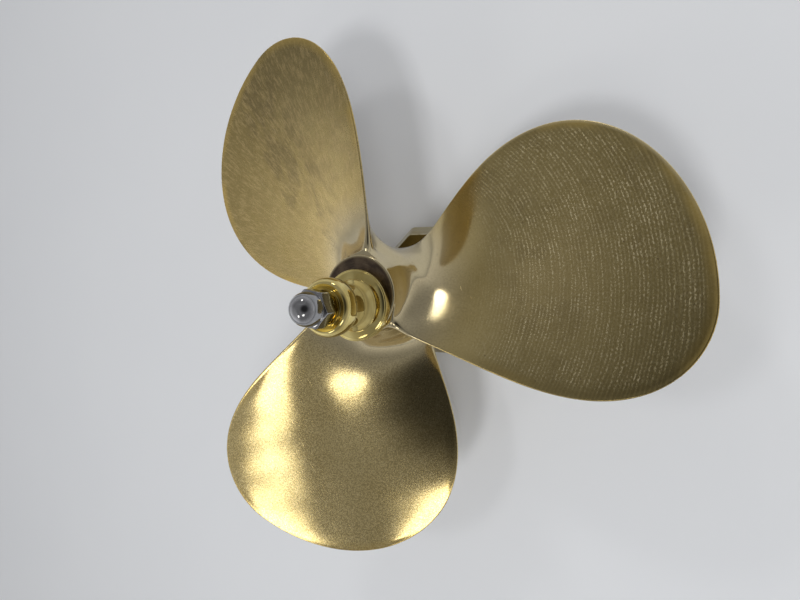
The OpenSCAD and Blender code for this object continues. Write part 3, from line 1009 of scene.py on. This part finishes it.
    # painted reflection: a patchy gold band along the rims of the blades
    painted_rim_reflection = M.op("MULTIPLY", M.step(rim, 6.5, 0.8), M.step(r, 60.0, 85.0))
    painted_rim_reflection = M.op("MULTIPLY", painted_rim_reflection, M.step(M.noise(M.P, 0.022, 2.0, 0.5), 0.38, 0.56))
    col = M.mix(M.op("MULTIPLY", painted_rim_reflection, 0.75), col, (0.78, 0.56, 0.17))
    col = M.mix(M.op("MULTIPLY", scratch, 0.18), col, (0.92, 0.80, 0.55))
    col = M.mix(M.op("MULTIPLY", M.step(speck, 0.42, 0.72), M.op("MULTIPLY_ADD", b2, 0.22, 0.14)), col, (0.86, 0.72, 0.42))
    col = M.mix(M.op("MULTIPLY", M.step(speck, 0.52, 0.30), M.op("MULTIPLY_ADD", b1, 0.12, 0.20)), col, (0.33, 0.25, 0.11))
    geo = M.t.nodes.new("ShaderNodeNewGeometry")
    gs = M.t.nodes.new("ShaderNodeSeparateXYZ")
    M.t.links.new(geo.outputs["Normal"], gs.inputs[0])
    # painted shade: faces of the blades that look downwards are darker
    back = M.op("MULTIPLY", M.step(gs.outputs[2], -0.05, -0.45), M.step(r, 38.0, 60.0))
    col = M.mix(M.op("MULTIPLY", back, 0.75), col, (0.30, 0.238, 0.138))
    spark = M.noise(M.P, 1.35, 2.0, 0.75)
    col = M.mix(M.op("MULTIPLY", b2, M.op("MULTIPLY", M.step(spark, 0.49, 0.59), 0.48)), col, (0.95, 0.80, 0.46))
    col = M.mix(M.op("MULTIPLY", b2, M.op("MULTIPLY", M.step(spark, 0.49, 0.40), 0.38)), col, (0.34, 0.255, 0.105))
    # painted highlight: a bright line along the rim on one side of the arc-polished blade
    painted_rim_highlight = M.op("MULTIPLY", M.op("MULTIPLY", M.step(rim, 2.4, 0.5), b0), M.step(ang, 0.10, 0.45))
    col = M.mix(M.op("MULTIPLY", painted_rim_highlight, 0.8), col, (1.0, 0.84, 0.48))
    pits = M.op("MULTIPLY", M.step(M.cells(M.P, 0.21), 0.10, 0.05), M.step(patch2, 0.50, 0.60))
    col = M.mix(M.op("MULTIPLY", pits, 0.75), col, (0.22, 0.15, 0.08))

    # gloss
    ro = M.op("MULTIPLY_ADD", b0, 0.13, 0.115)
    ro = M.op("MULTIPLY_ADD", b1, 0.17, ro)
    ro = M.op("MULTIPLY_ADD", b2, 0.035, ro)
    ro = M.op("MULTIPLY_ADD", M.op("SUBTRACT", grain, 0.5), 0.10, ro)
    ro = M.op("MULTIPLY_ADD", M.op("MULTIPLY", spot, b0), 0.16, ro)
    ro = M.op("MULTIPLY_ADD", M.op("SUBTRACT", patch2, 0.5), 0.06, ro)
    ro = M.op("MULTIPLY_ADD", painted_rim_reflection, -0.06, ro)
    ro = M.op("MAXIMUM", ro, 0.06)

    # relief
    h = M.op("MULTIPLY", M.op("MULTIPLY", arcs, b0), 0.9)
    h = M.op("ADD", h, M.op("MULTIPLY", M.op("MULTIPLY", spot, b0), 0.8))
    h = M.op("ADD", h, M.op("MULTIPLY", M.op("ADD", strokes, M.op("MULTIPLY", fine, 0.4)), M.op("MULTIPLY", b1, 0.9)))
    h = M.op("ADD", h, M.op("MULTIPLY", M.op("ADD", speck, M.op("MULTIPLY", swirl, 0.5)), M.op("MULTIPLY_ADD", b2, 0.34, 0.12)))
    h = M.op("ADD", h, M.op("MULTIPLY", spark, M.op("MULTIPLY", b2, 0.22)))
    h = M.op("SUBTRACT", h, M.op("MULTIPLY", scratch, 0.25))
    h = M.op("SUBTRACT", h, M.op("MULTIPLY", pits, 1.2))
    M.bump(h, 0.35, 0.06)
    return M.done(col, ro)


def end_face_material():
    """Turned end of the hub and its bore: darkened metal, ring marks, small pits."""
    M = Mat("bronze_dark_end")
    r = M.op("SQRT", M.op("ADD", M.op("MULTIPLY", M.x, M.x), M.op("MULTIPLY", M.y, M.y)))
    ang = M.op("ARCTAN2", M.y, M.x)
    n1 = M.noise(M.P, 0.16, 3.0, 0.6)
    n2 = M.noise(M.P, 0.9, 3.0, 0.6)
    rings = M.noise(M.vec(M.op("MULTIPLY", r, 4.5), M.op("MULTIPLY", ang, 2.0), 0.0), 1.0, 2.0, 0.6)
    col = M.mix(M.step(n1, 0.38, 0.64), (0.17, 0.125, 0.085), (0.085, 0.062, 0.048))
    col = M.mix(M.op("MULTIPLY", M.step(rings, 0.52, 0.70), 0.45), col, (0.30, 0.24, 0.15))
    col = M.mix(M.op("MULTIPLY", M.step(r, 19.4, 20.4), 0.6), col, (0.45, 0.36, 0.20))
    pits = M.step(M.cells(M.P, 0.45), 0.16, 0.08)
    col = M.mix(M.op("MULTIPLY", pits, 0.6), col, (0.04, 0.03, 0.025))
    ro = M.op("MULTIPLY_ADD", n2, 0.22, 0.24)
    h = M.op("SUBTRACT", M.op("ADD", rings, M.op("MULTIPLY", n2, 0.5)), M.op("MULTIPLY", pits, 0.8))
    M.bump(h, 0.4, 0.06)
    return M.done(col, ro)


def turned_material(name, cx, cy, base, dark, worn, rough, ring=3.2, marks=0.5, painted_dark_bands=()):
    """Lathe-turned, polished metal: rings around its own axis, fine scratches, darker and worn spots, painted dark
    reflections in streaks around the axis, and painted dark reflections and shade in the given bands.
    """
    M = Mat(name)
    dx, dy = M.op("SUBTRACT", M.x, cx), M.op("SUBTRACT", M.y, cy)
    r = M.op("SQRT", M.op("ADD", M.op("MULTIPLY", dx, dx), M.op("MULTIPLY", dy, dy)))
    ang = M.op("ARCTAN2", dy, dx)
    rings = M.noise(M.vec(M.op("MULTIPLY", r, ring), M.op("MULTIPLY", M.z, ring), M.op("MULTIPLY", ang, 0.7)), 1.0, 2.0, 0.6)
    n1 = M.noise(M.P, 0.11, 3.0, 0.6)
    n2 = M.noise(M.P, 0.6, 3.0, 0.6)
    sc = M.noise(M.vec(M.op("MULTIPLY", M.z, 2.2), M.op("MULTIPLY", ang, 2.5), M.op("MULTIPLY", r, 2.2)), 1.0, 1.0, 0.5, 0.8)
    scratch = M.step(sc, 0.66, 0.72)
    col = M.mix(M.step(n1, 0.36, 0.66), base, dark)
    col = M.mix(M.op("MULTIPLY", scratch, 0.4 * marks), col, worn)
    col = M.mix(M.op("MULTIPLY", M.step(n2, 0.60, 0.74), 0.35 * marks), col, dark)
    # painted dark reflection: dark streaks at some angles around the axis, stronger when bands are given
    painted_reflection_streaks = M.noise(M.vec(M.op("MULTIPLY", M.op("SINE", ang), 0.85), M.op("MULTIPLY", M.op("COSINE", ang), 0.85), M.op("MULTIPLY", M.z, 0.09)), 1.0, 1.0, 0.4)
    col = M.mix(M.op("MULTIPLY", M.step(painted_reflection_streaks, 0.50, 0.57), 0.42 if painted_dark_bands else 0.15), col, (0.36, 0.26, 0.075))
    # painted dark reflections and shade in the given bands of height and radius
    for za, zb, ra, rb, amount in painted_dark_bands:
        painted_band = M.op("MULTIPLY", M.op("MULTIPLY", M.step(M.z, za - 0.5, za + 0.5), M.step(M.z, zb + 0.5, zb - 0.5)),
                    M.op("MULTIPLY", M.step(r, ra - 0.4, ra + 0.4), M.step(r, rb + 0.4, rb - 0.4)))
        col = M.mix(M.op("MULTIPLY", painted_band, M.op("MULTIPLY_ADD", n1, 0.4, amount - 0.2)), col, (0.26, 0.185, 0.055))
    ro = M.op("MULTIPLY_ADD", M.op("SUBTRACT", n2, 0.5), 0.08, rough)
    ro = M.op("MULTIPLY_ADD", M.step(n1, 0.45, 0.7), 0.03, ro)
    ro = M.op("MAXIMUM", ro, 0.03)
    M.bump(M.op("SUBTRACT", rings, M.op("MULTIPLY", scratch, 0.6)), 0.12 * marks, 0.04)
    return M.done(col, ro)


def block_material():
    """Machined and buffed brass block of a brownish tone, paler where the edges wear; its top face is darker, a
    painted dark reflection.
    """
    M = Mat("base_brass")
    n1 = M.noise(M.P, 0.05, 3.0, 0.6, 0.5)
    n2 = M.noise(M.P, 0.5, 3.0, 0.6)
    mill = M.noise(M.vec(M.op("MULTIPLY", M.x, 0.05), M.op("MULTIPLY", M.y, 2.4), M.op("MULTIPLY", M.z, 2.4)), 1.0, 2.0, 0.6)
    # painted dark reflection: the top face darker than the sides
    top = M.step(M.z, BZ1 - 0.8, BZ1 - 0.1)
    col = M.mix(M.step(n1, 0.38, 0.66), (0.46, 0.415, 0.275), (0.42, 0.345, 0.195))
    col = M.mix(M.op("MULTIPLY", top, 0.92), col, (0.24, 0.19, 0.07))
    edge = M.op("MULTIPLY", M.step(M.z, BZ1 - 1.4, BZ1 - 0.75), M.step(M.z, BZ1 - 0.02, BZ1 - 0.5))
    edge2 = M.op("MULTIPLY", M.step(M.z, BZ1 - 11.5, BZ1 - 10.2), M.step(M.z, BZ1 - 8.6, BZ1 - 9.6))
    wear = M.op("MULTIPLY", M.op("MAXIMUM", edge, edge2), M.step(n2, 0.35, 0.6))
    col = M.mix(M.op("MULTIPLY", wear, 0.6), col, (0.80, 0.72, 0.50))
    ro = M.op("MULTIPLY_ADD", n2, 0.12, 0.10)
    ro = M.op("MULTIPLY_ADD", wear, -0.05, ro)
    M.bump(M.op("ADD", M.op("MULTIPLY", mill, 0.6), M.op("MULTIPLY", n2, 0.3)), 0.25, 0.05)
    return M.done(col, ro)


def zinc_material():
    """Bright zinc plate: faint spangle, bluish and straw tints, dulled patches."""
    M = Mat("zinc_steel")
    n1 = M.noise(M.P, 0.2, 3.0, 0.6)
    cellsn = M.cells(M.P, 0.9)
    n2 = M.noise(M.P, 1.3, 2.0, 0.6)
    col = M.mix(M.step(n1, 0.35, 0.65), (0.62, 0.65, 0.69), (0.66, 0.63, 0.54))
    col = M.mix(M.op("MULTIPLY", M.step(cellsn, 0.15, 0.75), 0.25), col, (0.45, 0.46, 0.48))
    ro = M.op("MULTIPLY_ADD", n2, 0.22, 0.20)
    M.bump(M.op("ADD", n2, M.op("MULTIPLY", cellsn, 0.4)), 0.3, 0.05)
    return M.done(col, ro)


def chrome_material():
    """Chrome plate with hairline scratches and faint cloudy patches."""
    M = Mat("bright_chrome")
    n1 = M.noise(M.P, 0.25, 2.0, 0.5)
    n2 = M.noise(M.P, 2.2, 2.0, 0.6)
    a = M.noise(M.vec(M.op("MULTIPLY", M.x, 3.2), M.op("MULTIPLY", M.y, 0.25), M.op("MULTIPLY", M.z, 0.6)), 1.0, 1.0, 0.5, 0.5)
    b = M.noise(M.vec(M.op("MULTIPLY", M.x, 0.3), M.op("MULTIPLY", M.y, 3.0), M.op("MULTIPLY", M.z, 0.8)), 1.0, 1.0, 0.5, 0.5)
    hair = M.op("MAXIMUM", M.step(a, 0.67, 0.72), M.step(b, 0.68, 0.73))
    col = M.mix(M.step(n1, 0.3, 0.7), (0.38, 0.38, 0.39), (0.31, 0.31, 0.315))
    col = M.mix(M.op("MULTIPLY", hair, 0.3), col, (0.75, 0.75, 0.76))
    ro = M.op("MULTIPLY_ADD", n2, 0.05, 0.045)
    ro = M.op("MULTIPLY_ADD", hair, 0.08, ro)
    M.bump(M.op("SUBTRACT", M.op("MULTIPLY", n2, 0.2), M.op("MULTIPLY", hair, 0.5)), 0.1, 0.02)
    return M.done(col, ro)


def felt_material():
    """Pressed green felt: tangled fibres and lint."""
    M = Mat("pad_felt")
    f1 = M.noise(M.P, 3.0, 4.0, 0.7, 1.5)
    f2 = M.noise(M.P, 0.35, 3.0, 0.6)
    lint = M.step(M.noise(M.P, 1.4, 2.0, 0.5, 2.0), 0.66, 0.74)
    col = M.mix(f1, (0.018, 0.055, 0.035), (0.035, 0.095, 0.06))
    col = M.mix(M.op("MULTIPLY", M.step(f2, 0.4, 0.7), 0.4), col, (0.02, 0.05, 0.035))
    col = M.mix(M.op("MULTIPLY", lint, 0.35), col, (0.12, 0.17, 0.13))
    M.b.inputs["Sheen Weight"].default_value = 0.35
    M.b.inputs["Sheen Roughness"].default_value = 0.5
    M.bump(M.op("ADD", f1, M.op("MULTIPLY", lint, 0.6)), 0.8, 0.25)
    return M.done(col, M.op("MULTIPLY_ADD", f1, 0.1, 0.87), 0.0)


finish_casting(prop)
prop.data.materials.append(bronze_material())
prop.data.materials.append(end_face_material())

# bands of painted dark reflection and shade on the flange and cup collars
brass = turned_material("turned_brass", FX, FY, (0.83, 0.69, 0.29), (0.72, 0.57, 0.20), (0.97, 0.88, 0.58), 0.065,
                         painted_dark_bands=((FZ + ff + 8.0, CZ, 0.0, 10.2, 0.62), (FZ + ff + 1.7, FZ + ff + 2.6, fr - 5.8, fr - 4.6, 0.5),
                                  (CZ + 0.9, CZ + 1.6, 10.0, 20.0, 0.6), (CZ + ch - 2.4, CZ + ch - 0.9, 0.0, cr - 3.9, 0.45),
                                  (CZ - 1.0, CZ + 0.3, 11.6, 20.0, 0.85), (FZ + ff + 3.2, FZ + ff + 8.0, 0.0, 11.3, 0.45)))
brass_rear = turned_material("turned_brass_rear", 0.0, 0.0, (0.78, 0.64, 0.28), (0.62, 0.48, 0.19), (0.95, 0.84, 0.50), 0.14, 2.4, 1.0)
bush = turned_material("bush_brass", 0.0, 0.0, (0.76, 0.60, 0.26), (0.55, 0.42, 0.17), (0.95, 0.84, 0.50), 0.20, 2.4, 1.2)
zinc = zinc_material()

dress(lathe("flange_collar_turned", flange_profile, FX, FY, FZ), "stand", "flange_collar", "turned_brass", brass)
dress(lathe("cup_collar_turned", cup_profile, FX, FY, CZ), "stand", "cup_collar", "turned_brass", brass)
dress(lathe("rear_collar_turned", rear_profile, 0.0, 0.0, RZ), "stand", "rear_collar", "turned_brass", brass_rear)
dress(make_dome_nut(), "stand", "dome_nut", "bright_chrome", chrome_material())
dress(make_base_block(), "stand", "base_block", "base_brass", block_material())
dress(make_pad(), "stand", "base_pad", "pad_felt", felt_material())
dress(make_spindle(), "stand", "spindle", "zinc_steel", zinc)


def cad_object(node):
    for o in bpy.data.objects:
        if o.type == "MESH" and (o.name == node or o.get("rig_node") == node):
            return o
    raise SystemExit("no CAD object " + node)


for node, mat in (("hub_bush", bush), ("base_washer", zinc), ("base_nut", zinc)):
    ob = cad_object(node)
    if not ob.material_slots:
        ob.data.materials.append(mat)
    for slot in ob.material_slots:
        slot.material = mat

# ---------------------------------------------------------------- stage and light


def plane(name, z, half):
    me = bpy.data.meshes.new(name)
    me.from_pydata([(-half, -half, z), (half, -half, z), (half, half, z), (-half, half, z)], [], [(0, 1, 2, 3)])
    ob = bpy.data.objects.new(name, me)
    bpy.context.scene.collection.objects.link(ob)
    return ob


floor = plane("floor", lo_b.z, 3.0)
F = Mat("floor_cloth")
weave = F.noise(F.vec(F.op("MULTIPLY", F.x, 0.9), F.op("MULTIPLY", F.y, 2.2), 0.0), 1.0, 2.0, 0.6)
soft = F.noise(F.P, 0.006, 3.0, 0.6)
F.bump(F.op("ADD", F.op("MULTIPLY", weave, 0.15), F.op("MULTIPLY", soft, 6.0)), 0.35, 0.6)
F.done(F.mix(soft, (0.735, 0.75, 0.775), (0.765, 0.78, 0.80)), 0.92, 0.0)
floor.data.materials.append(F.m)

w = bpy.data.worlds.new("studio")
bpy.context.scene.world = w
w.use_nodes = True
wt = w.node_tree
bg = wt.nodes["Background"]
tc = wt.nodes.new("ShaderNodeTexCoord")
sx = wt.nodes.new("ShaderNodeSeparateXYZ")
wt.links.new(tc.outputs["Generated"], sx.inputs[0])
ramp = wt.nodes.new("ShaderNodeValToRGB")
wt.links.new(sx.outputs[2], ramp.inputs[0])
els = ramp.color_ramp.elements
stops = ((0.0, 0.62), (0.20, 0.50), (0.40, 0.35), (0.56, 0.26), (0.80, 0.30), (1.0, 0.26))
els[0].position, els[1].position = stops[0][0], stops[-1][0]
for p_, v in stops[1:-1]:
    els.new(p_)
for e, (p_, v) in zip(sorted(els, key=lambda q: q.position), stops):
    e.color = (v, v, v * 1.02, 1)
dk = wt.nodes.new("ShaderNodeVectorMath")
dk.operation = "DOT_PRODUCT"
wt.links.new(tc.outputs["Generated"], dk.inputs[0])
dk.inputs[1].default_value = Vector((0.40, 0.12, 0.91)).normalized()
mr = wt.nodes.new("ShaderNodeMapRange")
mr.interpolation_type = "SMOOTHSTEP"
wt.links.new(dk.outputs["Value"], mr.inputs["Value"])
mr.inputs["From Min"].default_value, mr.inputs["From Max"].default_value = 0.83, 0.985
mr.inputs["To Min"].default_value, mr.inputs["To Max"].default_value = 1.0, 0.14
lt = wt.nodes.new("ShaderNodeVectorMath")
lt.operation = "DOT_PRODUCT"
wt.links.new(tc.outputs["Generated"], lt.inputs[0])
lt.inputs[1].default_value = Vector((-0.80, -0.46, 0.40)).normalized()
ml = wt.nodes.new("ShaderNodeMapRange")
ml.interpolation_type = "SMOOTHSTEP"
wt.links.new(lt.outputs["Value"], ml.inputs["Value"])
ml.inputs["From Min"].default_value, ml.inputs["From Max"].default_value = 0.72, 1.0
ml.inputs["To Min"].default_value, ml.inputs["To Max"].default_value = 1.0, 1.9
mm = wt.nodes.new("ShaderNodeMath")
mm.operation = "MULTIPLY"
wt.links.new(mr.outputs[0], mm.inputs[0])
wt.links.new(ml.outputs[0], mm.inputs[1])
wt.links.new(ramp.outputs[0], bg.inputs[0])
wt.links.new(mm.outputs[0], bg.inputs[1])


def area(name, place, target, sx_, sy_, radiance, color=(1, 1, 1), glossy=True, diffuse=True, shape="RECTANGLE"):
    ld = bpy.data.lights.new(name, "AREA")
    ld.shape = shape
    ld.size, ld.size_y = sx_, sy_
    ar = sx_ * sy_ * (math.pi / 4 if shape == "ELLIPSE" else 1.0)
    ld.energy = radiance * math.pi * ar
    ld.color = color
    ob = bpy.data.objects.new(name, ld)
    ob.location = place
    d = Vector(place) - Vector(target)
    ob.rotation_euler = d.to_track_quat("Z", "Y").to_euler()
    bpy.context.scene.collection.objects.link(ob)
    ob.visible_camera = False
    ob.visible_glossy = glossy
    ob.visible_diffuse = diffuse
    return ob


hub = (0.0, 0.0, 0.1)
area("soft_key", (0.60, -0.10, 1.25), hub, 0.40, 0.40, 7.8, glossy=False)
area("near_key", (0.14, -0.42, 1.25), hub, 0.19, 0.19, 32.0, glossy=False)
area("lamp_left", (-0.23, 0.15, 1.28), hub, 0.18, 0.18, 13.0, glossy=False)
area("lamp_top", (-0.45, 1.10, 1.10), hub, 0.18, 0.18, 20.0, glossy=False)
area("window_left", (-0.50, -0.92, 1.2), hub, 0.26, 0.40, 3.2, (1.0, 0.98, 0.92), shape="ELLIPSE")
area("panel_low", (0.28, -0.745, 1.2), hub, 0.40, 0.24, 3.0, (1.0, 0.98, 0.92), shape="ELLIPSE")
area("panel_top", (-0.20, 1.28, 0.86), hub, 0.26, 0.24, 4.6, (1.0, 0.98, 0.94), shape="ELLIPSE")

bpy.context.scene.view_settings.view_transform = "Standard"
